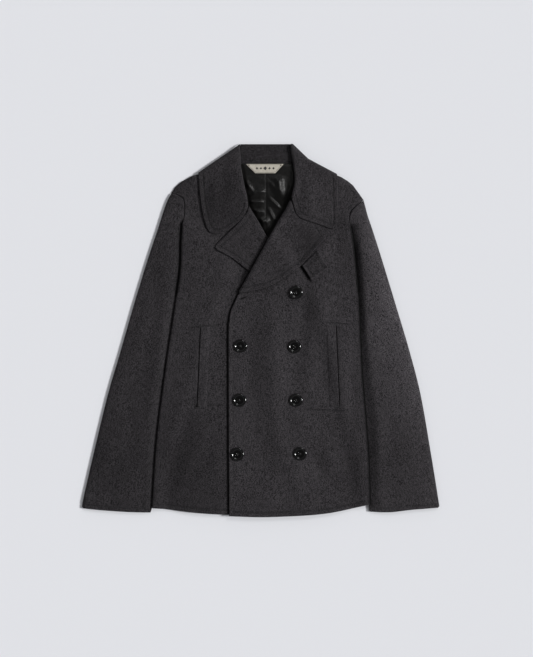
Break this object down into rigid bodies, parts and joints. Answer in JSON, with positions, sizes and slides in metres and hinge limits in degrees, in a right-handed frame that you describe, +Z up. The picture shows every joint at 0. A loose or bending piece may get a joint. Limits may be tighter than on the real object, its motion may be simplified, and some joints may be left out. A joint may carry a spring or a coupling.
{
  "type": "pea coat",
  "caption": "Double-breasted wool pea coat laid flat on its back, fronts crossed, collar and lapels turned down, sleeves lying at its sides.",
  "frame": {"origin": "on the surface that the coat lies on, under the middle of its outline", "axes": "+X towards the wearer's left sleeve, +Y towards the collar, +Z up from the surface through the back to the fronts"},
  "size_m": [0.7366, 0.7692, 0.0235],
  "materials": {
    "wool": "charcoal melange wool melton, brushed nap, matte",
    "satin": "black satin lining, soft gloss",
    "label": "cream woven label with a plain border and a row of small diamonds",
    "button": "black four-hole button, polished, sewn with charcoal thread"
  },
  "bodies": {
    "root": {"back": "wool", "front_left": "wool", "front_right": "wool", "lapel_left": "wool", "lapel_right": "wool", "collar_leaf_left": "wool", "collar_leaf_right": "wool", "collar_fall_back": "wool", "collar_stand": "wool", "sleeve_top_left": "wool", "sleeve_top_right": "wool", "sleeve_under_left": "wool", "sleeve_under_right": "wool", "pocket_welt_left": "wool", "pocket_welt_right": "wool", "throat_tab": "wool", "lining": "satin", "label": "label", "button_inner_1": "button", "button_inner_2": "button", "button_inner_3": "button", "button_inner_4": "button", "button_outer_1": "button", "button_outer_2": "button", "button_outer_3": "button"}
  },
  "joints": []
}
